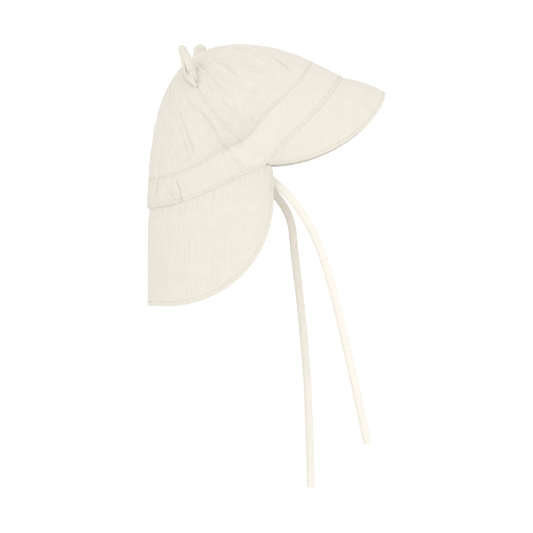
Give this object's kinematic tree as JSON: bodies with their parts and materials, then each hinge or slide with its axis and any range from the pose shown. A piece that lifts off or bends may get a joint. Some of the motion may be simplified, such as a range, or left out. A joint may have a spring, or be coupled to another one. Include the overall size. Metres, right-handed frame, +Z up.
{
  "type": "toddler sun hat",
  "caption": "Soft toddler sun hat: gathered domed crown with ear tabs, head band, curved front peak, neck flap and long chin ties.",
  "frame": {"origin": "centre of the head opening, where the wearer's head fills the hat", "axes": "+X forwards over the peak, +Y towards the wearer's left, +Z up"},
  "size_m": [0.2047, 0.1418, 0.3775],
  "materials": {
    "muslin": "crinkled cotton muslin, cream",
    "lining": "plain cotton muslin, cream",
    "interfacing": "felted interfacing, off white",
    "elastic": "woven elastic, off white",
    "tie_cloth": "folded cotton strip, cream"
  },
  "bodies": {
    "hat": {"crown_front_panel": "muslin", "crown_back_panel": "muslin", "crown_front_lining": "lining", "crown_back_lining": "lining", "band_outer": "muslin", "band_lining": "lining", "back_elastic": "elastic"},
    "peak": {"peak_upper": "muslin", "peak_stiffener": "interfacing", "peak_under": "lining"},
    "neck_flap": {"flap_outer": "muslin", "flap_lining": "lining"},
    "right_ear": {"right_ear_outer": "muslin", "right_ear_inner": "muslin"},
    "left_ear": {"left_ear_outer": "muslin", "left_ear_inner": "muslin"},
    "right_tie": {"right_tie": "tie_cloth"},
    "left_tie": {"left_tie": "tie_cloth"}
  },
  "joints": [
    {"name": "peak_flex", "type": "hinge", "parent": "hat", "child": "peak", "pos_m": [0.0846, 0, 0.0564], "axis": [0, -1, 0], "range_deg": [-5, 14], "stiffness_Nm_per_rad": 0.15},
    {"name": "flap_lift", "type": "hinge", "parent": "hat", "child": "neck_flap", "pos_m": [0.017, 0, -0.0195], "axis": [0, 1, 0], "range_deg": [0, 30]},
    {"name": "right_ear_flop", "type": "hinge", "parent": "hat", "child": "right_ear", "pos_m": [-0.0435, -0.0334, 0.056], "axis": [-0.3477, 0.5855, 0.7323], "range_deg": [-10, 10], "stiffness_Nm_per_rad": 0.003},
    {"name": "left_ear_flop", "type": "hinge", "parent": "hat", "child": "left_ear", "pos_m": [-0.0435, 0.0334, 0.056], "axis": [-0.3477, -0.5855, 0.7323], "range_deg": [-10, 10], "stiffness_Nm_per_rad": 0.003},
    {"name": "right_tie_swing", "type": "hinge", "parent": "hat", "child": "right_tie", "pos_m": [0.008, -0.0606, -0.021], "axis": [0, 1, 0], "range_deg": [-25, 30]},
    {"name": "left_tie_swing", "type": "hinge", "parent": "hat", "child": "left_tie", "pos_m": [0.008, 0.0606, -0.021], "axis": [0, 1, 0], "range_deg": [-25, 25]}
  ]
}
